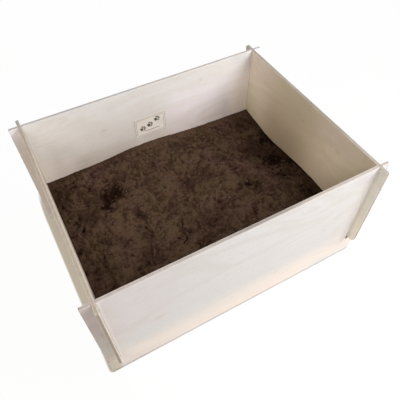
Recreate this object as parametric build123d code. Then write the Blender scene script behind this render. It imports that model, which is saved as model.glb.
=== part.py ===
from build123d import *
import math
import os

# A small animal digging box: four plywood walls that plug into each other at the corners, a
# floor board that lies inside them, and a filling of soil to dig in.
# Millimetres, +Z up. The origin is on the ground under the middle of the box, +X runs along
# the long walls, and the front wall is at -Y.

# Walls
wall_thickness = 6.0  # plywood of the four walls
wall_height = 270.0  # ground to rim
side_spacing = 500.0  # left wall to right wall, from middle to middle of the plywood
long_spacing = 386.0  # front wall to back wall, from middle to middle of the plywood
overhang = 16.5  # how far each wall's end stands out past the wall that it crosses
slot_bottom = 52.0  # ground to the bottom of a long wall's slot
tab_foot = 64.5  # ground to the foot of a side wall's tab
corner_radius = 2.0  # corners of every wall, seen face on
tab_radius = 8.0  # outer corner at the foot of a tab
edge_break = 0.4  # sanded edges

# Clearances
slot_play = 0.3  # between a slot's cheek and the side wall in it
seat_play = 0.5  # between the foot of a side wall and the long walls beside it
floor_play = 0.5  # between the floor board and the walls round it
soil_play = 0.4  # between the soil and the walls round it

# Floor board and soil
floor_thickness = 4.0
soil_depth = 108.0  # from the floor board to the soil's level surface
soil_grid = 14.0  # spacing of the points that the soil's surface passes through

# Mounds and hollows of the soil: middle in X, middle in Y, reach, and height, which is
# negative for a hollow. The broad ones come first, then the lumps and scrapes on them.
soil_forms = [
    (-25.0, 170.0, 95.0, 12.0),
    (-190.0, 40.0, 80.0, 8.0),
    (-60.0, -60.0, 90.0, -8.0),
    (90.0, 30.0, 80.0, 8.0),
    (235.0, 90.0, 75.0, -13.0),
    (150.0, -150.0, 90.0, 5.0),
    (-150.0, -170.0, 80.0, 6.0),
    (-138.0, 98.0, 26.0, -13.0),
    (-160.0, 72.0, 18.0, -8.0),
    (-212.0, 130.0, 30.0, 7.0),
    (-184.0, -41.0, 28.0, 7.0),
    (-205.0, -62.0, 20.0, -7.0),
    (-143.0, -80.0, 24.0, -7.0),
    (-78.0, -88.0, 26.0, 7.0),
    (-110.0, -18.0, 28.0, -8.0),
    (-40.0, -50.0, 26.0, -9.0),
    (20.0, 60.0, 26.0, -8.0),
    (-45.0, 55.0, 30.0, 6.0),
    (17.0, -50.0, 24.0, -8.0),
    (73.0, -61.0, 28.0, 6.0),
    (125.0, -14.0, 22.0, -8.0),
    (157.0, -10.0, 24.0, 6.0),
    (183.0, -58.0, 30.0, 8.0),
    (222.0, -98.0, 22.0, -7.0),
    (205.0, 20.0, 26.0, -9.0),
    (110.0, 110.0, 34.0, 7.0),
    (60.0, -140.0, 30.0, -6.0),
    (-20.0, -155.0, 30.0, 6.0),
]

# Label on the inner face of the back wall
label_width = 72.0
label_height = 50.0
label_thickness = 0.4
label_lift = 31.5  # from the soil's level surface up to the label
label_shift = -2.5  # from the middle of the wall to the middle of the label, to the right
label_radius = 1.0

# Worked out from the values above
half_wall = wall_thickness / 2
long_length = side_spacing + wall_thickness + 2 * overhang
side_length = long_spacing + wall_thickness + 2 * overhang
slot_width = wall_thickness + 2 * slot_play
seat_length = long_spacing - wall_thickness - 2 * seat_play
inner_length = side_spacing - wall_thickness
inner_width = long_spacing - wall_thickness
soil_level = floor_thickness + soil_depth


def break_edges(panel, axis):
    # Takes the sharpness off the edges round both faces of a panel
    faces = panel.faces().filter_by(axis)
    return chamfer(faces.edges(), edge_break)


def slot(x):
    # One slot of a long wall, open at the rim, with a round bottom
    radius = slot_width / 2
    straight = wall_height - slot_bottom - radius
    cheek = Pos(x, wall_height - straight / 2) * Rectangle(slot_width, straight)
    return cheek + Pos(x, slot_bottom + radius) * Circle(radius)


def long_wall(y):
    # Front or back wall: a full-height board with a slot near each end
    board = Pos(0, wall_height / 2) * RectangleRounded(long_length, wall_height, corner_radius)
    for side in (-1, 1):
        board -= slot(side * side_spacing / 2)
    solid = extrude(Plane.XZ * board, amount=half_wall, both=True)
    return Pos(0, y, 0) * break_edges(solid, Axis.Y)


def side_wall(x):
    # Left or right wall: the upper part reaches out through the slots, the foot stands
    # between the long walls
    tab_height = wall_height - tab_foot
    upper = Pos(0, tab_foot + tab_height / 2) * Rectangle(side_length, tab_height)
    foot = Pos(0, wall_height / 2) * Rectangle(seat_length, wall_height)
    board = upper + foot
    tab_corners = [
        v for v in board.vertices() if abs(v.Y - tab_foot) < 1 and abs(v.X) > long_spacing / 2
    ]
    board = fillet(tab_corners, tab_radius)
    outer_corners = [v for v in board.vertices() if v.Y < 1 or v.Y > wall_height - 1]
    board = fillet(outer_corners, corner_radius)
    solid = extrude(Plane.YZ * board, amount=half_wall, both=True)
    return Pos(x, 0, 0) * break_edges(solid, Axis.X)


def floor_board():
    # Loose board inside the four walls
    board = RectangleRounded(
        inner_length - 2 * floor_play, inner_width - 2 * floor_play, corner_radius
    )
    return break_edges(extrude(board, amount=floor_thickness), Axis.Z)


def soil_height(x, y):
    # Level surface plus round mounds and hollows that fade out smoothly
    height = soil_level
    for form_x, form_y, reach, rise in soil_forms:
        distance = math.hypot(x - form_x, y - form_y)
        height += rise * math.exp(-((distance / reach) ** 2))
    return height


def soil():
    # The surface reaches a little past the walls, is thickened downwards and is trimmed to
    # the space between them
    columns = math.ceil(inner_length / 2 / soil_grid) + 1
    rows = math.ceil(inner_width / 2 / soil_grid) + 1
    points = [
        [
            Vector(i * soil_grid, j * soil_grid, soil_height(i * soil_grid, j * soil_grid))
            for j in range(-rows, rows + 1)
        ]
        for i in range(-columns, columns + 1)
    ]
    surface = Face.make_surface_from_array_of_points(points)
    heap = Solid.extrude(surface, Vector(0, 0, -2 * soil_level))
    length = inner_length - 2 * soil_play
    width = inner_width - 2 * soil_play
    space = Pos(0, 0, floor_thickness + wall_height / 2) * Box(length, width, wall_height)
    return space & heap


def label():
    # Thin paper label stuck to the inner face of the back wall
    sheet = RectangleRounded(label_width, label_height, label_radius)
    centre = soil_level + label_lift + label_height / 2
    face = Plane(origin=(label_shift, inner_width / 2, centre), x_dir=(1, 0, 0), z_dir=(0, -1, 0))
    return extrude(face * sheet, amount=label_thickness)


nodes = {
    "front_panel": long_wall(-long_spacing / 2),
    "back_panel": long_wall(long_spacing / 2),
    "left_panel": side_wall(-side_spacing / 2),
    "right_panel": side_wall(side_spacing / 2),
    "base_panel": floor_board(),
    "soil_fill": soil(),
    "wall_label": label(),
}

os.makedirs("parts", exist_ok=True)
for name, shape in nodes.items():
    export_step(shape, f"parts/{name}.step")
    print(name, round(shape.volume / 1000, 1), "cm3")
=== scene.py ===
import math
import bpy
import numpy as np
from mathutils import Matrix, Vector


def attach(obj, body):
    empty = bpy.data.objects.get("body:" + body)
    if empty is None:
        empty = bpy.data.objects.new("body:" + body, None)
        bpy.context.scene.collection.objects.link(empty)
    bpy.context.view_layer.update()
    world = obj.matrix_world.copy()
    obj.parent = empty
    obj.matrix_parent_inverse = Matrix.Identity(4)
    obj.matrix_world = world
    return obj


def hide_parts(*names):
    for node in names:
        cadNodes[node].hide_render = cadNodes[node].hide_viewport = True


# Small animal digging box: four slotted plywood walls, a loose floor board, a bed of humus and a paper label.
# Everything is in metres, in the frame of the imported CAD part.

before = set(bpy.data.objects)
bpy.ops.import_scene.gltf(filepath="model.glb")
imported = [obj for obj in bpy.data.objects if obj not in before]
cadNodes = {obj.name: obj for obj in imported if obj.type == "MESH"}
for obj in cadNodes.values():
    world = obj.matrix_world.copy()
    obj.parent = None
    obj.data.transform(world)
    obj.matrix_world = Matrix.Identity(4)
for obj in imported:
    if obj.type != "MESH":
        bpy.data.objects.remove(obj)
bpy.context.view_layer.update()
print("frame loaded with", len(cadNodes), "CAD nodes")


# camera, floor and lamps
view = {
    "target": (0.0048, -0.01947, 0.135),  # the point in the middle of the picture
    "azimuth": -28.275,
    "elevation": 52.171,
    "roll": -0.517,
    "distance": 0.82692,
    "lens": 38.012,
    "sensor": 36.0,
    "nearest": 0.01,
}
studio = {
    "lamps": (  # name, azimuth from the front towards the right, elevation, distance, size, power, colour
        ("key", 54.0, 41.0, 1.2, 0.82, 15.3, (1.0, 1.0, 0.995)),
        ("fill", -46.0, 52.0, 1.9, 1.1, 15.3, (1.0, 1.0, 0.995)),
        ("behind", 178.0, 14.0, 1.9, 0.8, 7.0, (1.0, 0.995, 0.985)),
    ),
    "white": (1.0, 1.0, 1.0, 1.0),  # the backdrop as the camera and reflections see it
    "skyStrength": 0.2,
    "skyColour": (1.0, 0.995, 0.985, 1.0),
    "floorSize": 8.0,
    "floorColour": (0.86, 0.84, 0.81, 1.0),
    "shadeSides": ((-0.2695, 0.2695), (-0.188, 0.190)),  # left and right, front and back of the full shade
    "shadeLean": 0.014,  # how much it widens to the left, towards the back
    "shadeEnds": (0.060, 0.100),  # how far past those sides the backdrop starts and is reached
    "hurry": 10.0,  # how many times sooner that is on the left and in front
    "glow": (0.04, 0.970),  # the backdrop's share before and past those ends
    # painted shade: the floor along the left wall as the camera sees it, darker and warmer
    "shadeStripColour": (0.75, 0.665, 0.54, 1.0),  # a narrow strip of floor along the left wall
    "shadeStripSide": (-0.250, -0.253),  # x where the strip starts and is full
    "shadeStripBack": (0.28, 0.22),  # y where it starts and is full
}


def direction(azimuth, elevation):
    # unit vector away from the object: azimuth 0 is the front, 90 the right
    a, e = math.radians(azimuth), math.radians(elevation)
    return Vector((math.sin(a) * math.cos(e), -math.cos(a) * math.cos(e), math.sin(e)))


def turned(back, roll=0.0):
    # the turn of a camera or lamp that looks along -back, rolled by so many degrees
    right = Vector((0, 0, 1)).cross(back).normalized()
    up = back.cross(right)
    c, s = math.cos(math.radians(roll)), math.sin(math.radians(roll))
    return Matrix((right * c + up * s, up * c - right * s, back)).transposed().to_4x4()


def placeInStudio(name, data, azimuth, elevation, distance, roll=0.0):
    # a camera or lamp at a distance from the target, looking at it
    obj = bpy.data.objects.new(name, data)
    bpy.context.scene.collection.objects.link(obj)
    back = direction(azimuth, elevation)
    place = turned(back, roll)
    place.translation = Vector(view["target"]) + back * distance
    obj.matrix_world = place
    return obj


def placeCamera():
    lens = bpy.data.cameras.new("camera")
    lens.lens, lens.sensor_width, lens.clip_start = view["lens"], view["sensor"], view["nearest"]
    bpy.context.scene.camera = placeInStudio(
        "camera", lens, view["azimuth"], view["elevation"], view["distance"], view["roll"])


def placeLamp(name, azimuth, elevation, distance, size, power, colour):
    lamp = bpy.data.lights.new(name, "AREA")
    lamp.shape, lamp.size = "SQUARE", size
    lamp.energy, lamp.color = power, colour
    placeInStudio(name, lamp, azimuth, elevation, distance)


# small helpers for node materials
def paint(red, green, blue):
    # a screen colour of 0 to 255 as the linear colour that a shader takes
    part = [c / 255 for c in (red, green, blue)]
    return tuple(c / 12.92 if c <= 0.04045 else ((c + 0.055) / 1.055) ** 2.4 for c in part) + (1.0,)


def node(tree, kind, inputs=None, out=0, **settings):
    # one shader node: settings are its properties, inputs its sockets by name or number
    made = tree.nodes.new("ShaderNode" + kind)
    for key, value in settings.items():
        setattr(made, key, value)
    for key, value in (inputs or {}).items():
        if isinstance(value, bpy.types.NodeSocket):
            tree.links.new(value, made.inputs[key])
        else:
            made.inputs[key].default_value = value
    return made.outputs[out] if len(made.outputs) else None


def newMaterial(name):
    material = bpy.data.materials.new(name)
    material.use_nodes = True
    material.node_tree.nodes.clear()
    return material, material.node_tree


def finishMaterial(tree, colour, roughness, height, distance, strength=1.0, specular=0.3):
    bumped = node(tree, "Bump", {"Height": height, "Distance": distance, "Strength": strength}, out="Normal")
    shader = node(tree, "BsdfPrincipled", {
        "Base Color": colour, "Roughness": roughness, "Normal": bumped, "Specular IOR Level": specular})
    node(tree, "OutputMaterial", {"Surface": shader})


def objectPoint(tree, scale=(1, 1, 1), shift=(0, 0, 0)):
    # object coordinates, stretched and moved
    point = node(tree, "TexCoord", out="Object")
    return node(tree, "Mapping", {"Vector": point, "Scale": scale, "Location": shift})


def objectAxis(tree, axis):
    point = node(tree, "TexCoord", out="Object")
    return node(tree, "SeparateXYZ", {0: point}, out=axis)


def noise(tree, point, scale, detail=2.0, roughness=0.5, distortion=0.0):
    return node(tree, "TexNoise", {
        "Vector": point, "Scale": scale, "Detail": detail, "Roughness": roughness, "Distortion": distortion})


def span(tree, value, low, high, toLow=0.0, toHigh=1.0):
    # eases from toLow at low to toHigh at high, and stays there beyond them
    return node(tree, "MapRange", {
        "Value": value, "From Min": low, "From Max": high, "To Min": toLow, "To Max": toHigh},
        interpolation_type="SMOOTHSTEP")


def calc(tree, operation, a, b=0.0, c=0.0):
    return node(tree, "Math", {0: a, 1: b, 2: c}, operation=operation)


def product(tree, first, *others):
    # all the values multiplied
    for other in others:
        first = calc(tree, "MULTIPLY", first, other)
    return first


def mixed(tree, share, a, b, blend="MIX"):
    return node(tree, "Mix", {0: share, 6: a, 7: b}, out=2, data_type="RGBA", blend_type=blend)


def tinted(tree, share, colour, factor):
    # the colour times a factor for each channel, by a share
    return mixed(tree, share, colour, (*factor, 1.0), "MULTIPLY")


def giveMaterial(obj, material):
    if not obj.material_slots:
        obj.data.materials.append(material)
    for slot in obj.material_slots:
        slot.material = material


def seenRays(tree):
    # 1 for what the camera sees, straight or in a reflection or through glass, 0 for light on the object
    path = tree.nodes.new("ShaderNodeLightPath").outputs
    seen = calc(tree, "MAXIMUM", path["Is Camera Ray"], path["Is Glossy Ray"])
    return calc(tree, "MAXIMUM", seen, path["Is Transmission Ray"])


def floorMaterial():
    # the floor's own shade close to the box, a white backdrop to the camera further out: away is the distance
    # past the sides of the full shade, hurried on the left and in front
    material, tree = newMaterial("studio floor")
    seen = seenRays(tree)
    x, y = objectAxis(tree, 0), objectAxis(tree, 1)
    leaning = calc(tree, "MULTIPLY_ADD", y, studio["shadeLean"], x)
    squares = []
    for place, (low, high) in zip((leaning, y), studio["shadeSides"]):
        before = product(tree, calc(tree, "SUBTRACT", low, place), studio["hurry"])
        past = calc(tree, "MAXIMUM", calc(tree, "MAXIMUM", before, calc(tree, "SUBTRACT", place, high)), 0.0)
        squares.append(product(tree, past, past))
    away = calc(tree, "SQRT", calc(tree, "ADD", *squares))
    share = product(tree, seen, span(tree, away, *studio["shadeEnds"], *studio["glow"]))
    # painted shade: along the left wall the camera sees the floor in the darker, warmer strip colour
    shadeStrip = product(tree, span(tree, x, *studio["shadeStripSide"]), span(tree, y, *studio["shadeStripBack"]), seen)
    colour = mixed(tree, shadeStrip, studio["floorColour"], studio["shadeStripColour"])
    matt = node(tree, "BsdfDiffuse", {"Color": colour})
    white = node(tree, "Emission", {"Color": studio["white"], "Strength": 1.0})
    node(tree, "OutputMaterial", {"Surface": node(tree, "MixShader", {0: share, 1: matt, 2: white})})
    return material


def layFloor():
    # a square sheet on the ground
    half = studio["floorSize"] / 2
    corners = [(-half, -half, 0), (half, -half, 0), (half, half, 0), (-half, half, 0)]
    mesh = bpy.data.meshes.new("floor")
    mesh.from_pydata(corners, [], [(0, 1, 2, 3)])
    floor = bpy.data.objects.new("floor", mesh)
    bpy.context.scene.collection.objects.link(floor)
    giveMaterial(floor, floorMaterial())


def lightSky():
    # a soft pale room that the camera sees as white
    world = bpy.data.worlds.new("studio")
    world.use_nodes = True
    tree = world.node_tree
    tree.nodes.clear()
    room = node(tree, "Background", {"Color": studio["skyColour"], "Strength": studio["skyStrength"]})
    white = node(tree, "Background", {"Color": studio["white"], "Strength": 1.0})
    shown = node(tree, "MixShader", {0: seenRays(tree), 1: room, 2: white})
    node(tree, "OutputWorld", {"Surface": shown})
    bpy.context.scene.world = world


placeCamera()
for lampValues in studio["lamps"]:
    placeLamp(*lampValues)
lightSky()
layFloor()
print("camera, lamps, sky and floor placed")


# plywood of the walls and the floor board
plywood = {
    # the grain: each part's colour as a factor on the veneer's, how much of it shows, and its two scales,
    # along the fibres and over them
    "figure": (0.93, 0.90, 0.86),  # the darker bands of the rotary cut veneer
    "figureShare": 0.50,
    "figureScales": (3.6, 10.0),
    "figureBands": 42.0,  # how closely the bands follow one another
    "figurePatches": (3.0, 6.0),  # scales of the places where the figure shows
    "streak": (0.88, 0.83, 0.76),  # fine fibres
    "streakShare": 0.30,
    "streakScales": (14.0, 420.0),
    "pore": (0.76, 0.68, 0.58),  # short pores
    "poreShare": 0.40,
    "poreScales": (110.0, 1500.0),
    "through": 40.0,  # scale through the board, so that both faces get their own cut
    # the pin knots, with their limits in knot radii
    "knot": (0.90, 0.85, 0.79),
    "knotEnds": (1.9, 0.9),  # where the dark heart starts and is full
    "knotLength": 0.55,  # how much the distance counts along the fibres
    "knotUneven": (420.0, 0.5),  # scale and reach of the outline's waver
    "knotRing": (0.97, 0.95, 0.92),  # bent fibres round a knot
    "ringEnds": ((4.4, 2.4), (1.2, 2.2)),  # the same for the ring, from outside and from inside
    # the plies on an edge, with lengths in metres from a ply's middle or a face
    "outerPly": paint(208, 200, 192),
    "corePly": paint(194, 184, 173),
    "coreHalf": 0.35,  # half of the core's thickness, as a share of half of the board's
    "glue": paint(120, 104, 90),
    "coreEase": 0.0001,
    "glueEnds": (0.00028, 0.00008),  # where a glue line starts and is full, from its middle
    "edgeEnds": (0.0002, 0.00035),  # where the edges' look starts and is full, in from a face
    "edgeRough": 1.5,
    "edgeScales": (900.0, 120.0),  # of the specks, and of the breaks in the glue lines
    # painted warm light reflected from the floor, along the foot of the front wall
    "paintedBounce": (1.20, 1.11, 1.04),
    "paintedBounceHeight": 0.070,
    "paintedBounceWave": 0.036,  # how much its upper side goes up and down
    "paintedBounceEase": 0.034,  # how far above and below that it fades
    "paintedBounceScales": (7.0, 34.0),
    # soil dust and painted shade on the inner faces, darkest just above the fill
    "dustAndShade": (0.57, 0.48, 0.40),
    "dustAndShadeShare": 0.60,
    "dustAndShadeEnds": (0.29, 0.09),  # heights where it starts and is full
    "dustAndShadeWave": 0.05,  # how much those heights go up and down
    "dustAndShadeScale": 22.0,
    # the sides of the box's inside: where a face starts to count as an inner one, and where it does
    "innerX": (0.2530, 0.2472),
    "innerY": (0.1960, 0.1902),
    "roughness": (0.60, 0.74),
    "relief": 0.00012,
}
# limits that several rows of painted light and shade share: an axis, where it starts and where it is reached
leftStub = (0, -0.246, -0.258)  # past the left slot
offStub = (0, -0.2540, -0.2530)  # not past the left slot
backStub = (0, -0.2530, -0.2545)
byWall = (1, -0.1930, -0.1955)  # on the tab, in front of the front wall
leftTip = (1, -0.2110, -0.2120)
boards = {
    # grain is the axis of the fibres, across the one through the board, rise the third; middle is where its
    # middle plane is; knots are a place along the fibres, one along rise and a radius; edge tints the plies;
    # a row has limits and a factor for the place past them all; the rows are painted light and shade with a
    # few
    # tints: lightAndShadeTones on faces, inner on inner faces only, and ends on the plies of the edges
    "front_panel": {
        "grain": 0, "across": 1, "rise": 2, "middle": -0.193, "half": 0.003, "shift": 0.0, "hasPaintedBounce": True,
        "veneer": paint(218, 215, 213), "edge": (0.80, 0.78, 0.79), "inner": (),
        "lightAndShadeTones": (
            # painted shade on the stub past the left slot, where the left tab's shadow falls, lighter below
            # mid height, darker again at its foot
            ((leftStub,), (0.86, 0.80, 0.76)),
            ((leftStub, (2, 0.23, 0.13)), (1.05, 1.11, 1.09)),
            ((leftStub, (2, 0.11, 0.08)), (1.00, 0.95, 0.97)),
            ((leftStub, (2, 0.080, 0.035)), (0.78, 0.84, 0.79)),
            # painted shade along the foot
            (((2, 0.010, 0.004),), (0.68, 0.69, 0.72)),  # the foot
            # painted light beside the right tab and on the upper right half, a slight tint on the upper left
            (((0, 0.195, 0.235), (2, 0.06, 0.09)), (1.09, 1.09, 1.07)),
            (((0, -0.09, -0.18), (2, 0.10, 0.16)), (0.99, 0.955, 0.975)),
            (((0, -0.09, 0.0), (2, 0.11, 0.15)), (1.02, 1.02, 1.03)),
            # painted light beside the left tab, painted shade in the upper left corner and on the foot on the
            # left
            (((0, -0.2400, -0.2435), offStub, (2, 0.03, 0.07)), (1.09, 1.09, 1.11)),
            (((0, -0.205, -0.235), (2, 0.21, 0.245), offStub), (0.95, 0.945, 0.94)),
            (((0, -0.10, -0.22), (2, 0.035, 0.018), offStub), (0.93, 0.93, 0.96)),
            # painted light beside the right tab, where its shadow falls, painted shade in the upper right
            # corner and on the foot on the right
            (((0, 0.2300, 0.2405), (2, 0.060, 0.085), (0, 0.2560, 0.2540)), (1.13, 1.13, 1.13)),
            (((0, 0.190, 0.222), (2, 0.232, 0.252)), (0.92, 0.89, 0.92)),
            (((0, 0.10, 0.20), (2, 0.035, 0.020)), (0.95, 0.985, 1.02))),
        "ends": (
            # painted shade in the bottom of the right slot
            (((0, 0.2440, 0.2462), (0, 0.2560, 0.2540), (2, 0.075, 0.066)), (0.45, 0.42, 0.38)),
            # painted light on the rim's left part, painted shade in its middle
            (((0, -0.105, -0.135),), (1.08, 1.08, 1.09)),
            (((0, -0.055, -0.005), (0, 0.125, 0.050)), (0.70, 0.69, 0.69))),
        "knots": (
            (0.191, 0.164, 0.0016), (0.166, 0.142, 0.0012), (0.072, 0.068, 0.0015), (-0.166, 0.131, 0.0014))},
    "back_panel": {
        "grain": 0, "across": 1, "rise": 2, "middle": 0.193, "half": 0.003, "shift": 2.3, "hasPaintedBounce": False,
        "veneer": paint(240, 236, 233), "edge": (0.935, 0.955, 1.03),
        "lightAndShadeTones": (
            # painted shade on the back stub past the left wall, lighter at its top
            ((backStub,), (0.86, 0.78, 0.72)),
            ((backStub, (2, 0.225, 0.262)), (1.22, 1.28, 1.42))),
        # inner: painted light low on the left and on the lower right, painted shade low left of the middle
        # and by the upper right corner
        "inner": (
            (((0, -0.16, -0.21), (2, 0.19, 0.13)), (1.20, 1.17, 1.20)),
            (((0, -0.205, -0.235), (2, 0.235, 0.18)), (1.14, 1.17, 1.18)),
            (((0, -0.195, -0.155), (0, -0.02, -0.08), (2, 0.17, 0.13)), (0.88, 0.86, 0.84)),
            (((0, 0.0, 0.08), (2, 0.265, 0.19)), (1.20, 1.19, 1.28)),
            (((0, 0.18, 0.215), (2, 0.25, 0.18)), (1.18, 1.17, 1.08)),
            (((0, 0.185, 0.210), (0, 0.245, 0.225), (2, 0.240, 0.262)), (0.90, 0.92, 0.94))),
        # painted shade, slight, on the rim from the left to the middle
        "ends": ((((0, -0.215, -0.185), (0, 0.040, -0.020)), (0.93, 0.94, 0.96)),),
        "knots": ((-0.103, 0.196, 0.0012), (0.121, 0.241, 0.0012))},
    "left_panel": {
        "grain": 1, "across": 0, "rise": 2, "middle": -0.25, "half": 0.003, "shift": 4.1, "hasPaintedBounce": False,
        "veneer": paint(226, 216, 203), "edge": (0.82, 0.755, 0.69), "lightAndShadeTones": (), "inner": (),
        "ends": (
            # tints at the back tip; painted shade on the front tip's end, with a painted highlight along its
            # inner side
            (((1, 0.180, 0.192),), (1.05, 1.13, 1.25)),
            (((1, 0.197, 0.200),), (0.86, 0.92, 0.99)),
            ((leftTip,), (0.80, 0.79, 0.80)),
            ((leftTip, (0, -0.2490, -0.2482)), (1.55, 1.65, 1.80))),
        "knots": ((-0.061, 0.204, 0.0016), (0.098, 0.118, 0.0013))},
    "right_panel": {
        "grain": 1, "across": 0, "rise": 2, "middle": 0.25, "half": 0.003, "shift": 6.7, "hasPaintedBounce": False,
        "veneer": paint(228, 218, 204), "edge": (0.60, 0.58, 0.55),
        "lightAndShadeTones": (
            # painted shade on the outer face
            (((0, 0.2500, 0.2520),), (0.89, 0.89, 0.90)),  # the outer face
            # painted shade on the front tab, by the wall and by the hole at its foot
            (((1, -0.2025, -0.1990), byWall, (0, 0.2500, 0.2480)), (0.88, 0.90, 0.92)),
            (((2, 0.092, 0.072), (1, -0.2065, -0.2005), byWall), (0.86, 0.83, 0.85)),
            # painted shade on the back tab, and faintly on the upper front tab
            (((1, 0.1940, 0.2000), (0, 0.2490, 0.2478)), (0.75, 0.79, 0.83)),  # the back tab
            (((1, -0.1965, -0.1990), (2, 0.09, 0.20)), (0.93, 0.96, 0.97))),
        # inner: painted light and shade, warmer over the whole face, lighter towards the back and the front,
        # darker low in the middle and at the very ends
        "inner": (
            ((), (1.10, 1.03, 0.93)),
            (((1, 0.03, 0.17),), (1.20, 1.22, 1.30)),
            (((1, 0.03, -0.12),), (1.14, 1.13, 1.14)),
            (((2, 0.26, 0.16), (1, 0.09, 0.17)), (1.16, 1.23, 1.19)),
            (((2, 0.26, 0.17), (1, 0.035, -0.075)), (1.22, 1.25, 1.21)),
            (((2, 0.20, 0.13), (1, 0.14, 0.05), (1, -0.07, 0.03)), (0.88, 0.87, 0.86)),
            (((1, 0.15, 0.07), (1, -0.08, 0.01)), (0.94, 0.92, 0.84)),
            (((1, -0.09, -0.17),), (0.87, 0.88, 0.84)),
            (((2, 0.225, 0.160), (1, 0.115, 0.175)), (0.89, 0.91, 0.88))),
        # ends: painted shade in the middle of the rim's front half, painted light towards both ends
        "ends": (
            (((1, -0.135, -0.085), (1, 0.060, -0.010)), (0.77, 0.79, 0.78)),
            (((1, 0.10, 0.15),), (1.08, 1.09, 1.11)),
            (((1, -0.185, -0.200),), (1.09, 1.11, 1.16)),
            (((1, 0.196, 0.200),), (0.92, 1.0, 1.06)),
            ((leftTip,), (1.22, 1.22, 1.20))),
        "knots": ((-0.107, 0.225, 0.0018), (-0.005, 0.222, 0.0012))},
    "base_panel": {
        "grain": 0, "across": 2, "rise": 1, "middle": 0.002, "half": 0.002, "shift": 8.9, "hasPaintedBounce": False,
        "veneer": paint(222, 208, 188), "edge": (0.9, 0.88, 0.85), "lightAndShadeTones": (), "inner": (), "ends": (),
        "knots": ((0.081, -0.052, 0.0018), (-0.134, 0.107, 0.0014))},
}


def grained(tree, board, along, over, shift=0.0):
    # object coordinates with one scale along the fibres and another over them
    scale = [over, over, over]
    scale[board["grain"]] = along
    scale[board["across"]] = plywood["through"]
    move = board["shift"] + shift
    return objectPoint(tree, scale, (move, move * 1.7, move * 0.6))


def toned(tree, colour, rows, share=1.0):
    # each row's factor, by the share times how far the place is past each of its limits
    for limits, factor in rows:
        part = share
        for axis, start, end in limits:
            part = product(tree, span(tree, objectAxis(tree, axis), start, end), part)
        colour = tinted(tree, part, colour, factor)
    return colour


def knotMarks(tree, board, colour):
    # each knot is a dark heart and a faint ring, by the distance from its middle, which counts less along the
    # fibres and wavers a little
    along, up = objectAxis(tree, board["grain"]), objectAxis(tree, board["rise"])
    unevenScale, waver = plywood["knotUneven"]
    uneven = noise(tree, objectPoint(tree), unevenScale)
    for place, height, radius in board["knots"]:
        u = product(tree, calc(tree, "SUBTRACT", along, place), plywood["knotLength"] / radius)
        v = product(tree, calc(tree, "SUBTRACT", up, height), 1.0 / radius)
        away = calc(tree, "SQRT", calc(tree, "ADD", product(tree, u, u), product(tree, v, v)))
        away = calc(tree, "ADD", away, product(tree, uneven, waver))
        colour = tinted(tree, span(tree, away, *plywood["knotEnds"]), colour, plywood["knot"])
        outer, inner = plywood["ringEnds"]
        ring = product(tree, span(tree, away, *outer), span(tree, away, *inner))
        colour = tinted(tree, ring, colour, plywood["knotRing"])
    return colour


def plyEdges(tree, board, colour, relief):
    # the distance from the middle plane tells the plies on an edge apart: pale outer ones, a darker core, and
    # glue between them
    depth = calc(tree, "ABSOLUTE", calc(tree, "SUBTRACT", objectAxis(tree, board["across"]), board["middle"]))
    speck, broken = (noise(tree, objectPoint(tree), scale) for scale in plywood["edgeScales"])
    coreHalf = plywood["coreHalf"] * board["half"]
    core = span(tree, depth, coreHalf + plywood["coreEase"], coreHalf - plywood["coreEase"])
    glue = span(tree, calc(tree, "ABSOLUTE", calc(tree, "SUBTRACT", depth, coreHalf)), *plywood["glueEnds"])
    glue = product(tree, glue, span(tree, broken, 0.40, 0.62, 0.15, 0.9))
    plies = mixed(tree, core, plywood["outerPly"], plywood["corePly"])
    plies = mixed(tree, glue, plies, plywood["glue"])
    plies = tinted(tree, span(tree, speck, 0.5, 0.8, 0.0, 0.6), plies, plywood["pore"])
    plies = toned(tree, tinted(tree, 1.0, plies, board["edge"]), board["ends"])
    onEdge = span(tree, depth, *(board["half"] - end for end in plywood["edgeEnds"]))
    rough = product(tree, speck, onEdge, plywood["edgeRough"])
    return mixed(tree, onEdge, colour, plies), calc(tree, "ADD", relief, rough)


def paintedFloorBounce(tree, board, colour):
    # painted warm light along the foot, reflected from the floor, with a wavy upper side
    wavy = noise(tree, grained(tree, board, *plywood["paintedBounceScales"], 7.0), 1.0, detail=3.0)
    wave, ease = plywood["paintedBounceWave"], plywood["paintedBounceEase"]
    top = calc(tree, "MULTIPLY_ADD", wavy, wave, plywood["paintedBounceHeight"] - wave / 2)
    over = calc(tree, "SUBTRACT", objectAxis(tree, 2), top)
    return tinted(tree, span(tree, over, ease, -ease), colour, plywood["paintedBounce"])


def innerShadeAndDust(tree, board, colour):
    # painted light and shade, and soil dust with painted shade, on the inner faces; both ease out inside the
    # crossing wall, where a slot hides it
    inX = span(tree, calc(tree, "ABSOLUTE", objectAxis(tree, 0)), *plywood["innerX"])
    inY = span(tree, calc(tree, "ABSOLUTE", objectAxis(tree, 1)), *plywood["innerY"])
    inside = product(tree, inX, inY)
    smear = noise(tree, objectPoint(tree), plywood["dustAndShadeScale"], detail=4.0, roughness=0.55)
    risen = calc(tree, "ADD", objectAxis(tree, 2), plywood["dustAndShadeWave"] / 2)
    height = calc(tree, "MULTIPLY_ADD", smear, -plywood["dustAndShadeWave"], risen)
    dustAndShadeMask = product(tree, span(tree, height, *plywood["dustAndShadeEnds"], 0.0, plywood["dustAndShadeShare"]), inside)
    return tinted(tree, dustAndShadeMask, toned(tree, colour, board["inner"], inside), plywood["dustAndShade"])


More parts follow.
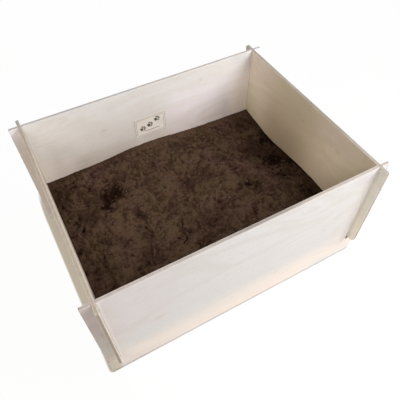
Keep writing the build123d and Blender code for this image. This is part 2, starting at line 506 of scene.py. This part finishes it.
def plywoodMaterial(name, board):
    # pale veneer: a wavy figure, fine fibres, short pores and a few pin knots, and the plies on the edges
    material, tree = newMaterial(name)
    wave = noise(tree, grained(tree, board, *plywood["figureScales"]), 1.0, roughness=0.40, distortion=0.9)
    bands = calc(tree, "SINE", product(tree, wave, plywood["figureBands"]))
    patches = noise(tree, grained(tree, board, *plywood["figurePatches"], 9.0), 1.0, detail=1.0)
    figure = product(tree, span(tree, bands, -0.9, 1.0), span(tree, patches, 0.35, 0.65, 0.15, 1.0))
    fibres = noise(tree, grained(tree, board, *plywood["streakScales"]), 1.0, detail=3.0, roughness=0.6)
    specks = noise(tree, grained(tree, board, *plywood["poreScales"], 3.0), 1.0, detail=1.0)
    pores = span(tree, specks, 0.62, 0.72)
    streaks = span(tree, fibres, 0.45, 0.75, 0.0, plywood["streakShare"])
    colour = tinted(tree, product(tree, figure, plywood["figureShare"]), board["veneer"], plywood["figure"])
    colour = tinted(tree, streaks, colour, plywood["streak"])
    colour = tinted(tree, product(tree, pores, plywood["poreShare"]), colour, plywood["pore"])
    colour = knotMarks(tree, board, colour)
    if board["hasPaintedBounce"]:
        colour = paintedFloorBounce(tree, board, colour)
    colour = innerShadeAndDust(tree, board, toned(tree, colour, board["lightAndShadeTones"]))
    relief = calc(tree, "SUBTRACT", product(tree, fibres, 0.6), product(tree, pores, 0.8))
    colour, relief = plyEdges(tree, board, colour, relief)
    roughness = span(tree, fibres, 0.3, 0.7, *plywood["roughness"])
    finishMaterial(tree, colour, roughness, relief, plywood["relief"], 0.8)
    return material


for nodeName, board in boards.items():
    giveMaterial(cadNodes[nodeName], plywoodMaterial(nodeName + " plywood", board))
print("plywood on", len(boards), "boards")


# the bed of humus
soil = {
    "level": 0.112,  # height of the plain surface over the ground
    "forms": (  # x, y, reach and rise of its mounds and hollows
        (-0.025, 0.170, 0.095, 0.012), (-0.190, 0.040, 0.080, 0.008), (-0.060, -0.060, 0.090, -0.008),
        (0.090, 0.030, 0.080, 0.008), (0.235, 0.090, 0.075, -0.013), (0.150, -0.150, 0.090, 0.005),
        (-0.150, -0.170, 0.080, 0.006),
        (-0.138, 0.098, 0.026, -0.013), (-0.160, 0.072, 0.018, -0.008), (-0.212, 0.130, 0.030, 0.007),
        (-0.184, -0.041, 0.028, 0.007), (-0.205, -0.062, 0.020, -0.007), (-0.143, -0.080, 0.024, -0.007),
        (-0.078, -0.088, 0.026, 0.007), (-0.110, -0.018, 0.028, -0.008), (-0.040, -0.050, 0.026, -0.009),
        (0.020, 0.060, 0.026, -0.008), (-0.045, 0.055, 0.030, 0.006), (0.017, -0.050, 0.024, -0.008),
        (0.073, -0.061, 0.028, 0.006), (0.125, -0.014, 0.022, -0.008), (0.157, -0.010, 0.024, 0.006),
        (0.183, -0.058, 0.030, 0.008), (0.222, -0.098, 0.022, -0.007), (0.205, 0.020, 0.026, -0.009),
        (0.110, 0.110, 0.034, 0.007), (0.060, -0.140, 0.030, -0.006), (-0.020, -0.155, 0.030, 0.006),
    ),
    "halfWidth": 0.2466,
    "halfDepth": 0.1896,
    "bottom": 0.0042,
    "columns": 309,
    "rows": 238,
    "skirtRows": 14,
    "skirtStep": 0.002,  # length along the rim that each of its points stands for
    "skirtDents": (0.0016, (0.012, 0.0012), (0.005, 0.0008)),  # mean depth, then spacing and depth of ripples
    "bends": ((0.030, 0.0060), (0.009, 0.0022)),  # spacing and reach of the waves that bend the finer forms
    "swells": ((0.034, 0.0032), (0.016, 0.0024), (0.0075, 0.0014)),  # spacing and height, coarse to fine
    "swellSides": (0.8, 1.5),  # how much of that height goes up and down
    "clods": (  # spacing, share of the cells that hold one, and rise
        (0.024, 0.30, 0.42), (0.012, 0.50, 0.55), (0.006, 0.70, 0.65),
    ),
    "crumbly": (0.060, 0.55, 1.2),  # how much of the clods shows: spacing of the places, mean and reach
    "calmEdge": 0.016,  # distance from the walls over which swells and clods grow
    "calmShare": 0.2,  # how much of them is left at the walls
    "grain": (0.0038, 0.0007),  # spacing and height of the finest ripples
    "pits": (  # x, y, radius and depth of the dark holes between clods
        (-0.168, 0.132, 0.0054, 0.0031), (-0.202, 0.144, 0.0054, 0.0031), (-0.190, 0.103, 0.0054, 0.0031),
        (-0.218, 0.036, 0.0054, 0.0043), (-0.241, -0.005, 0.0063, 0.0043), (-0.245, -0.052, 0.0054, 0.0037),
        (-0.240, 0.106, 0.0045, 0.0031), (-0.244, 0.034, 0.0045, 0.0031), (-0.215, -0.012, 0.0036, 0.0025),
        (-0.204, -0.037, 0.0036, 0.0031), (-0.210, -0.054, 0.0036, 0.0025), (-0.198, -0.067, 0.0045, 0.0031),
        (-0.188, 0.070, 0.0045, 0.0025), (0.232, -0.003, 0.0063, 0.0037), (0.201, -0.037, 0.0054, 0.0037),
        (0.161, -0.047, 0.0063, 0.0037), (0.095, -0.075, 0.0063, 0.0037), (-0.157, -0.083, 0.0045, 0.0031),
        (-0.040, -0.097, 0.0054, 0.0037), (0.229, 0.092, 0.0072, 0.0037),
    ),
    # what is painted dark, as shade in creases and low places: the hollow value starts at plainHollow and
    # grows with the depth below the blurred surface
    "plainHollow": 0.45,
    "hollows": ((400, 0.030), (60, 0.026), (8, 0.009)),  # passes of blur and the depth that counts as 1
    "wallShade": (0.42, 0.012),  # strength and reach of the painted shade along the right wall, where its shadow falls
    "darkPatchBends": ((0.012, 0.004),),
    "darkPatches": (  # x, y, reach and strength of the dark patches: painted shade at holes and creases and over the right side; a negative strength lightens
        (-0.140, 0.097, 0.022, 0.50), (-0.163, 0.072, 0.009, 0.35), (-0.172, 0.133, 0.013, 0.20),
        (-0.201, 0.143, 0.009, 0.25), (-0.120, 0.125, 0.016, 0.25), (0.238, 0.086, 0.020, 0.35),
        (0.219, 0.028, 0.016, 0.45), (0.233, 0.000, 0.014, 0.35), (0.204, -0.030, 0.014, 0.30),
        (0.211, -0.076, 0.010, 0.20), (0.225, -0.088, 0.013, 0.25), (0.122, -0.019, 0.009, 0.35),
        (0.096, -0.077, 0.008, 0.25), (0.200, 0.030, 0.100, 0.24), (-0.150, -0.085, 0.060, -0.08),
        (-0.190, 0.120, 0.080, 0.12),
    ),
    "light": paint(82, 63, 50),
    "mid": paint(56, 39, 30),
    "creaseShade": paint(25, 11, 5),
    "warm": (1.0, 1.06, 0.93),  # factors of the slightly yellower and redder places
    "cool": (1.02, 0.98, 1.06),
    "patchScale": 24.0,
    "crumbScale": 230.0,
    "gritScale": 900.0,
    "warmScale": 26.0,
    "crumbShare": 0.46,  # of crumbs in the light and dark of the colour, the rest is patches
    "hollowShare": 0.34,  # how much a hollow value of 1 darkens it further, as painted shade; values below a half lighten it, as painted light
    "gritShare": 0.35,  # of grit in the bump, beside the crumbs
    # where each colour starts and is full
    "lightEnds": (0.36, 0.64),
    "creaseShadeEnds": (0.62, 1.25),  # hollow values
    "warmEnds": (0.45, 0.65),
    "coolEnds": (0.48, 0.32),
    "relief": 0.0018,
}


def ripple(x, y, cell, seed):
    # smooth noise from about -1 to 1: random slopes at the corners of square cells, eased between them
    angle = np.random.default_rng(seed).random((256, 256)) * 2 * np.pi
    u, v = x / cell + 97.3, y / cell + 61.9
    i, j = np.floor(u).astype(int), np.floor(v).astype(int)
    s, t = u - i, v - j
    es, et = (s * s * s * (s * (s * 6 - 15) + 10) for s in (s, t))
    corner = {}
    for a in (0, 1):
        for b in (0, 1):
            way = angle[(i + a) & 255, (j + b) & 255]
            corner[a, b] = np.cos(way) * (s - a) + np.sin(way) * (t - b)
    near = corner[0, 0] * (1 - es) + corner[1, 0] * es
    far = corner[0, 1] * (1 - es) + corner[1, 1] * es
    return (near * (1 - et) + far * et) * 1.5


def bent(x, y, waves, seed):
    # both coordinates, each moved by one ripple for every wave
    bentX, bentY = x, y
    for k, (spacing, reach) in enumerate(waves):
        bentX = bentX + reach * ripple(x, y, spacing, seed + 2 * k)
        bentY = bentY + reach * ripple(x, y, spacing, seed + 2 * k + 1)
    return bentX, bentY


def clods(x, y, cell, held, rise, seed):
    # some square cells hold a half buried ball of a random size; the height is that of the highest one there
    spotX, spotY, lot, girth = np.random.default_rng(seed).random((4, 256, 256))
    u, v = x / cell + 97.3, y / cell + 61.9
    i, j = np.floor(u).astype(int), np.floor(v).astype(int)
    height = np.zeros(x.shape)
    for a in (-1, 0, 1):
        for b in (-1, 0, 1):
            p, q = (i + a) & 255, (j + b) & 255
            radius = np.where(lot[p, q] < held, 0.25 + 0.45 * girth[p, q], 0.01)
            away = np.hypot(i + a + spotX[p, q] - u, j + b + spotY[p, q] - v) / radius
            height = np.maximum(height, radius * (np.sqrt(np.clip(1 - away ** 2, 0, 1)) - 0.35) * rise)
    return height * cell


def soilHeight(x, y):
    # the level, plus mounds and hollows, plus swells that are deeper than high, plus clods of three sizes,
    # less the pits, plus a fine grain; all but the mounds and the grain are bent a little, and swells and
    # clods die down towards the walls
    height = np.full(x.shape, soil["level"])
    for formX, formY, reach, rise in soil["forms"]:
        height += rise * np.exp(-((x - formX) ** 2 + (y - formY) ** 2) / reach ** 2)
    bentX, bentY = bent(x, y, soil["bends"], 3)
    edge = np.minimum(soil["halfWidth"] - abs(x), soil["halfDepth"] - abs(y))
    calm = soil["calmShare"] + (1 - soil["calmShare"]) * np.clip(edge / soil["calmEdge"], 0, 1) ** 1.5
    spacing, mean, reach = soil["crumbly"]
    crumbly = np.clip(mean + reach * ripple(x, y, spacing, 7), 0.1, 1) * calm
    for k, (spacing, rise) in enumerate(soil["swells"]):
        wave = ripple(bentX, bentY, spacing, 11 + k)
        height += calm * rise * np.where(wave > 0, *soil["swellSides"]) * wave
    for k, (spacing, held, rise) in enumerate(soil["clods"]):
        height += clods(bentX, bentY, spacing, held, rise, 21 + k) * crumbly
    for pitX, pitY, radius, depth in soil["pits"]:
        height -= depth * np.exp(-(((bentX - pitX) ** 2 + (bentY - pitY) ** 2) / radius ** 2) ** 1.3)
    spacing, rise = soil["grain"]
    return height + rise * ripple(x, y, spacing, 9)


def blurred(height, times):
    # each pass takes the mean of a point and its four neighbours
    for _ in range(times):
        p = np.pad(height, 1, mode="edge")
        height = (p[1:-1, 1:-1] + p[2:, 1:-1] + p[:-2, 1:-1] + p[1:-1, 2:] + p[1:-1, :-2]) / 5
    return height


def hollowness(x, y, height):
    # how far the surface lies below its blurred self, at three sizes, plus painted shade by the right wall
    # and in dark patches
    value = soil["plainHollow"]
    for times, depth in soil["hollows"]:
        value = value + (blurred(height, times) - height) / depth
    strength, reach = soil["wallShade"]
    darkPatches = strength * np.exp(-(soil["halfWidth"] - x) / reach)
    bentX, bentY = bent(x, y, soil["darkPatchBends"], 51)
    for dampX, dampY, reach, strength in soil["darkPatches"]:
        darkPatches += strength * np.exp(-((bentX - dampX) ** 2 + (bentY - dampY) ** 2) / reach ** 2)
    return np.clip(value + darkPatches, 0, 1.3)


def makeMesh(name, points, faceSets, body, material, smooth=True):
    # one piece from its points and several arrays of faces, riding a body
    mesh = bpy.data.meshes.new(name)
    mesh.from_pydata(points.tolist(), [], [face for faces in faceSets for face in faces.tolist()])
    mesh.polygons.foreach_set("use_smooth", np.full(len(mesh.polygons), smooth))
    obj = bpy.data.objects.new(name, mesh)
    bpy.context.scene.collection.objects.link(obj)
    giveMaterial(obj, material)
    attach(obj, body)
    return obj


def soilMaterial(name, hollowFrom=None):
    # dark humus, with painted light and shade: lighter tops, darker lower parts and almost black creases,
    # with fine crumbs in the bump
    material, tree = newMaterial(name)
    patches = noise(tree, objectPoint(tree), soil["patchScale"], detail=3.0, distortion=0.4)
    crumbs = noise(tree, objectPoint(tree), soil["crumbScale"], detail=3.0, roughness=0.6)
    grit = noise(tree, objectPoint(tree), soil["gritScale"], detail=3.0, roughness=0.6)
    fine = soil["crumbShare"]
    tone = calc(tree, "ADD", product(tree, patches, 1 - fine), product(tree, crumbs, fine))
    if hollowFrom:
        hollow = node(tree, "Attribute", out="Fac", attribute_name=hollowFrom)
        # painted light and shade: places above their blurred surroundings lighter, those below darker
        raised = calc(tree, "SUBTRACT", 0.5, hollow)
        tone = calc(tree, "ADD", tone, product(tree, raised, soil["hollowShare"]))
    colour = mixed(tree, span(tree, tone, *soil["lightEnds"]), soil["mid"], soil["light"])
    if hollowFrom:
        # painted shade: creases and deep hollows almost black
        colour = mixed(tree, span(tree, hollow, *soil["creaseShadeEnds"]), colour, soil["creaseShade"])
    warmth = noise(tree, objectPoint(tree, shift=(3.1, 1.7, 0.4)), soil["warmScale"])
    colour = tinted(tree, span(tree, warmth, *soil["warmEnds"]), colour, soil["warm"])
    colour = tinted(tree, span(tree, warmth, *soil["coolEnds"]), colour, soil["cool"])
    relief = calc(tree, "ADD", crumbs, product(tree, grit, soil["gritShare"]))
    finishMaterial(tree, colour, 0.93, relief, soil["relief"], 1.0, 0.05)
    return material


def makeSoil():
    # a height over a grid of x and y, a rough skirt down from its rim, and a flat bottom
    xs = np.linspace(-soil["halfWidth"], soil["halfWidth"], soil["columns"])
    ys = np.linspace(-soil["halfDepth"], soil["halfDepth"], soil["rows"])
    x, y = np.meshgrid(xs, ys, indexing="ij")
    height = soilHeight(x, y)
    count = soil["columns"] * soil["rows"]
    index = np.arange(count).reshape(x.shape)
    top = np.stack([index[:-1, :-1], index[1:, :-1], index[1:, 1:], index[:-1, 1:]], -1).reshape(-1, 4)
    # the skirt: each row of the rim is lower than the last and dented inwards
    rim = np.concatenate([index[:-1, 0], index[-1, :-1], index[:0:-1, -1], index[0, :0:-1]])
    rimX, rimY, rimZ = x.ravel()[rim], y.ravel()[rim], height.ravel()[rim]
    share = np.linspace(0, 1, soil["skirtRows"] + 1)[1:, None]
    z = rimZ + (soil["bottom"] - rimZ) * share
    around = np.broadcast_to(np.arange(len(rim)) * soil["skirtStep"], z.shape)
    dent, *dentWaves = soil["skirtDents"]
    for k, (spacing, depth) in enumerate(dentWaves):
        dent = dent + depth * ripple(around, z, spacing, 31 + k)
    dent = np.clip(dent, 0, None) * np.minimum(1, share * soil["skirtRows"] / 2)
    skirt = np.stack([rimX * (1 - dent / soil["halfWidth"]), rimY * (1 - dent / soil["halfDepth"]), z], -1)
    points = np.concatenate([np.stack([x, y, height], -1).reshape(-1, 3), skirt.reshape(-1, 3),
                             [[0.0, 0.0, soil["bottom"]]]])
    rings = np.concatenate([rim[None], count + np.arange(skirt.shape[0] * len(rim)).reshape(-1, len(rim))])
    nextRings = np.roll(rings, -1, axis=1)
    sides = np.stack([rings[1:], nextRings[1:], nextRings[:-1], rings[:-1]], -1).reshape(-1, 4)
    centre = np.full(len(rim), len(points) - 1)
    under = np.stack([nextRings[-1], rings[-1], centre], -1)
    obj = makeMesh("soil_bed", points, [top, sides, under], "box", soilMaterial("humus", "hollow"))
    hollow = np.full(len(points), 0.3, np.float32)
    hollow[:count] = hollowness(x, y, height).ravel()
    obj.data.attributes.new("hollow", "FLOAT", "POINT").data.foreach_set("value", hollow)
    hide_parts("soil_fill")


makeSoil()
print("soil bed made")


# loose crumbs, pale flecks and fibres on the soil
# small and large are the least and the largest radius, flat is a lump's height over its width
crumbs = {"count": 900, "small": 0.0011, "large": 0.0046, "flat": 0.7, "seed": 41}
flecks = {
    "count": 26, "small": 0.0005, "large": 0.0011, "flat": 0.4, "seed": 42,
    "colour": paint(150, 138, 124),
}
lumps = {
    "bands": 4,  # rings of points between the two ends
    "steps": 7,  # points on a ring
    "dent": 0.15,  # depth of each of its three waves, in radii
    "dentWaves": 1.5,  # how closely they follow one another
    "stretch": ((0.8, 1.3), (0.7, 1.0)),  # least and most, along and across
    "lean": 0.35,  # in radians
    "raised": 0.3,  # height of the middle over the soil, in flattened radii
    "rarity": 2.2,  # the higher, the fewer large ones
}
fibres = {
    "count": 36,
    "shortest": 0.005,
    "longest": 0.014,
    "thickness": 0.0003,
    "steps": 7,  # rings of points along a fibre
    "bend": 0.5,  # how far it bends to a side at most, as a share of a quarter of its length
    "arch": 0.12,  # how far its middle stands up, as a share of its length
    "raised": 0.0004,
    "seed": 43,
    "colour": paint(92, 70, 50),
}


def scattered(rng, count, margin):
    # random places on the soil, clear of the walls by a margin
    x = rng.uniform(-soil["halfWidth"] + margin, soil["halfWidth"] - margin, count)
    y = rng.uniform(-soil["halfDepth"] + margin, soil["halfDepth"] - margin, count)
    return x, y


def makeLumps(name, values, material):
    # each lump is a ball on a grid of latitude and longitude; three random waves dent it, and it is flattened
    # and turned
    rng = np.random.default_rng(values["seed"])
    count, flat = values["count"], values["flat"]
    bands, steps = lumps["bands"], lumps["steps"]
    lat = np.linspace(0, np.pi, bands + 2)[1:-1]
    lon = np.linspace(0, 2 * np.pi, steps, endpoint=False)
    la, lo = np.meshgrid(lat, lon, indexing="ij")
    ball = np.stack([np.sin(la) * np.cos(lo), np.sin(la) * np.sin(lo), np.cos(la)], -1).reshape(-1, 3)
    ball = np.concatenate([[[0, 0, 1]], ball, [[0, 0, -1]]])
    size = values["small"] + (values["large"] - values["small"]) * rng.random(count) ** lumps["rarity"]
    waves, phase = rng.normal(size=(count, 3, 3)) * lumps["dentWaves"], rng.random((count, 1, 3)) * 6.3
    radius = 1 + lumps["dent"] * np.sin(np.einsum("vk,njk->nvj", ball, waves) + phase).sum(-1)
    along, over = (rng.uniform(*limits, count) for limits in lumps["stretch"])
    stretch = np.stack([along, over, np.full(count, flat)], -1)
    local = ball[None] * radius[..., None] * stretch[:, None] * size[:, None, None]
    spin, lean = rng.random(count) * 2 * np.pi, rng.normal(0, lumps["lean"], count)
    c, s, cl, sl = np.cos(spin), np.sin(spin), np.cos(lean), np.sin(lean)
    none = np.zeros(count)
    turn = np.stack([c, -s * cl, s * sl, s, c * cl, -c * sl, none, sl, cl], -1).reshape(-1, 3, 3)
    x, y = scattered(rng, count, values["large"] * 1.6)
    centre = np.stack([x, y, soilHeight(x, y) + lumps["raised"] * flat * size], -1)
    points = (np.einsum("nij,nvj->nvi", turn, local) + centre[:, None]).reshape(-1, 3)
    k = np.arange(steps)
    after = (k + 1) % steps
    ring = 1 + np.arange(bands)[:, None] * steps
    last = len(ball) - 1
    capTop = np.stack([np.zeros(steps, int), 1 + k, 1 + after], -1)
    capEnd = np.stack([np.full(steps, last), ring[-1] + after, ring[-1] + k], -1)
    belts = np.stack([ring[:-1] + k, ring[1:] + k, ring[1:] + after, ring[:-1] + after], -1).reshape(-1, 4)
    start = np.arange(count)[:, None, None] * len(ball)
    faceSets = [(f[None] + start).reshape(-1, f.shape[1]) for f in (capTop, belts, capEnd)]
    return makeMesh(name, points, faceSets, "box", material)


def makeFibres(name, values, material):
    # each fibre is a thin three sided tube along a shallow arc that lies on the soil
    rng = np.random.default_rng(values["seed"])
    count, steps = values["count"], values["steps"]
    t = np.linspace(-0.5, 0.5, steps)
    length = rng.uniform(values["shortest"], values["longest"], (count, 1))
    bend = rng.uniform(-values["bend"], values["bend"], (count, 1))
    spin = rng.random((count, 1)) * 2 * np.pi
    x0, y0 = scattered(rng, count, values["longest"])
    lx, ly = length * t, length * bend * (0.25 - t * t)
    x = x0[:, None] + lx * np.cos(spin) - ly * np.sin(spin)
    y = y0[:, None] + lx * np.sin(spin) + ly * np.cos(spin)
    ends = soilHeight(x[:, [0, -1]], y[:, [0, -1]])
    arch = length * values["arch"] * (1 - 4 * t * t)
    z = ends[:, :1] + (ends[:, 1:] - ends[:, :1]) * (t + 0.5) + arch + values["raised"]
    path = np.stack([x, y, z], -1)
    along = np.gradient(path, axis=1)
    side = np.cross(along, (0, 0, 1.0))
    side /= np.linalg.norm(side, axis=-1, keepdims=True)
    rise = np.cross(side, along)
    rise /= np.linalg.norm(rise, axis=-1, keepdims=True)
    width = values["thickness"] * np.sqrt(np.clip(1.05 - (2 * t) ** 4, 0.05, None))[None, :, None, None]
    angle = np.array([90, 210, 330]) * np.pi / 180
    spokes = side[:, :, None] * np.cos(angle)[:, None] + rise[:, :, None] * np.sin(angle)[:, None]
    points = (path[:, :, None] + spokes * width).reshape(-1, 3)
    k, after = np.arange(3), np.array([1, 2, 0])
    ring = np.arange(steps)[:, None] * 3
    walls = np.stack([ring[:-1] + k, ring[:-1] + after, ring[1:] + after, ring[1:] + k], -1).reshape(-1, 4)
    caps = np.array([[2, 1, 0], [steps * 3 - 3, steps * 3 - 2, steps * 3 - 1]])
    start = np.arange(count)[:, None, None] * steps * 3
    faceSets = [(f[None] + start).reshape(-1, f.shape[1]) for f in (walls, caps)]
    return makeMesh(name, points, faceSets, "box", material)


def bitMaterial(name, colour):
    # small dry bits: one colour, mottled darker, matt
    material, tree = newMaterial(name)
    mottle = noise(tree, objectPoint(tree), 420.0, detail=3.0)
    shade = mixed(tree, span(tree, mottle, 0.35, 0.7), colour, soil["light"])
    finishMaterial(tree, shade, 0.85, mottle, 0.0004, 0.8, 0.2)
    return material


makeLumps("soil_crumbs", crumbs, soilMaterial("humus crumbs"))
makeLumps("pale_flecks", flecks, bitMaterial("dry flecks", flecks["colour"]))
makeFibres("root_fibres", fibres, bitMaterial("dry fibres", fibres["colour"]))
print("crumbs, flecks and fibres strewn")


# the paper label on the back wall and what is printed on it
label = {
    "centre": (-0.0025, 0.1685),  # x and z
    "face": 0.1896,  # y of the paper's face
    "width": 0.072,
    "height": 0.050,
    "frames": ((0.0006, 0.0007, 0.0012), (0.0038, 0.0008, 0.0030)),  # each line's inset, width and corner
    "ink": paint(48, 34, 24),
    "frameInk": paint(142, 126, 116),
    "paper": paint(236, 227, 217),
    "cloud": paint(226, 213, 200),  # of the paper's slightly darker places
    "thickness": 0.00006,
    "tilt": 24.0,  # the trail of paw prints climbs to the right
    "pawSize": 0.0074,
    "paws": ((-0.0190, -0.0040), (-0.0020, 0.0015), (0.0150, 0.0110)),
    "pads": (  # of one print, in paw sizes: place across and along, half width, half length, lean and bulge
        (0.0, -0.25, 0.55, 0.47, 0.0, 0.13), (-0.72, 0.28, 0.22, 0.32, 0.35, 0.0),
        (-0.27, 0.72, 0.23, 0.35, 0.10, 0.0), (0.27, 0.72, 0.23, 0.35, -0.10, 0.0),
        (0.72, 0.28, 0.22, 0.32, -0.35, 0.0),
    ),
    "rule": (0.0040, -0.0125, 0.0340, 0.0016),  # middle x and z, length and width of the line below
}


def onLabel(u, v, layer):
    # a place on the label, u to the right and v up from its middle; layer 0 is in the paper, 1 the ink's face
    y = label["face"] + label["thickness"] * (0.5 - 1.5 * layer)
    return np.stack([label["centre"][0] + u, np.full(np.shape(u), y), label["centre"][1] + v], -1)


def inkShape(u, v):
    # a flat printed shape: its outline in front and behind, each closed by a fan round the middle
    n = len(u)
    middle = (np.array([u.mean()]), np.array([v.mean()]))
    points = np.concatenate([onLabel(u, v, 1), onLabel(u, v, 0), onLabel(*middle, 1), onLabel(*middle, 0)])
    k = np.arange(n)
    after = (k + 1) % n
    front = np.stack([k, after, np.full(n, 2 * n)], -1)
    behind = np.stack([n + after, n + k, np.full(n, 2 * n + 1)], -1)
    rim = np.stack([k, n + k, n + after, after], -1)
    return points, [front, behind, rim]


def inkLoop(outer, inner):
    # a printed line between two closed outlines with the same number of points, four cornered in section
    n = len(outer[0])
    points = np.concatenate([onLabel(*outer, 1), onLabel(*inner, 1), onLabel(*inner, 0), onLabel(*outer, 0)])
    k = np.arange(n)
    after = (k + 1) % n
    start = np.arange(4)[:, None] * n
    follow = (np.arange(4)[:, None] + 1) % 4 * n
    return points, [np.stack([start + k, start + after, follow + after, follow + k], -1).reshape(-1, 4)]


def roundedRectangle(width, height, corner, steps=8):
    # quarter circles at the four corners, anticlockwise
    angle = np.linspace(0, np.pi / 2, steps)
    u = np.concatenate([sx * (width / 2 - corner) + corner * np.cos(angle + turn)
                        for sx, turn in ((1, 0), (-1, np.pi / 2), (-1, np.pi), (1, np.pi * 1.5))])
    v = np.concatenate([sy * (height / 2 - corner) + corner * np.sin(angle + turn)
                        for sy, turn in ((1, 0), (1, np.pi / 2), (-1, np.pi), (-1, np.pi * 1.5))])
    return u, v


def oval(u, v, across, along, lean, bulge=0.0, steps=24):
    # an oval whose long way leans from upright; bulge pulls it towards a rounded triangle
    angle = np.linspace(0, 2 * np.pi, steps, endpoint=False)
    radius = 1 + bulge * np.cos(3 * (angle - np.pi / 2))
    a, b = radius * np.cos(angle) * across, radius * np.sin(angle) * along
    return u + a * np.cos(lean) - b * np.sin(lean), v + a * np.sin(lean) + b * np.cos(lean)


def inkPiece(name, parts, colour):
    # several printed shapes as one mesh
    points, faceSets, start = [], [], 0
    for shapePoints, shapeFaces in parts:
        faceSets += [faces + start for faces in shapeFaces]
        points.append(shapePoints)
        start += len(shapePoints)
    material, tree = newMaterial(name.replace("_", " "))
    wear = noise(tree, objectPoint(tree), 900.0, detail=3.0)
    shade = mixed(tree, span(tree, wear, 0.45, 0.8, 0.0, 0.45), colour, label["paper"])
    finishMaterial(tree, shade, 0.6, wear, 0.00003, 0.5)
    makeMesh(name, np.concatenate(points), faceSets, "box", material, smooth=False)


def pawPrint(u, v, size, lean):
    # one broad pad and four toes round it, all turned by the print's lean
    c, s = math.cos(lean), math.sin(lean)
    pads = []
    for a, b, across, along, turn, bulge in label["pads"]:
        padU, padV = u + (a * c - b * s) * size, v + (a * s + b * c) * size
        pads.append(inkShape(*oval(padU, padV, across * size, along * size, lean + turn, bulge)))
    return pads


def paperMaterial():
    # warm white paper, slightly cloudy, with a fine pulp in the bump
    material, tree = newMaterial("label paper")
    cloudy = noise(tree, objectPoint(tree), 60.0, detail=4.0)
    pulp = noise(tree, objectPoint(tree), 1400.0)
    shade = mixed(tree, span(tree, cloudy, 0.35, 0.7, 0.0, 0.5), label["paper"], label["cloud"])
    finishMaterial(tree, shade, 0.62, pulp, 0.00004, 0.6)
    return material


def makeLabel():
    # two frame lines and a plain rule as one printed piece, three paw prints as another
    giveMaterial(cadNodes["wall_label"], paperMaterial())
    frameLines = []
    for inset, line, corner in label["frames"]:
        width, height = label["width"] - 2 * inset, label["height"] - 2 * inset
        frameLines.append(inkLoop(roundedRectangle(width, height, corner),
                                  roundedRectangle(width - 2 * line, height - 2 * line, corner - line)))
    ruleU, ruleV, ruleLength, ruleWidth = label["rule"]
    ends = roundedRectangle(ruleLength, ruleWidth, ruleWidth * 0.499)
    inkPiece("label_frame", [*frameLines, inkShape(ends[0] + ruleU, ends[1] + ruleV)], label["frameInk"])
    lean = math.radians(label["tilt"] - 90)
    prints = [part for u, v in label["paws"] for part in pawPrint(u, v, label["pawSize"], lean)]
    inkPiece("label_paws", prints, label["ink"])


makeLabel()
print("label printed")

bpy.context.scene.view_settings.view_transform = "Standard"
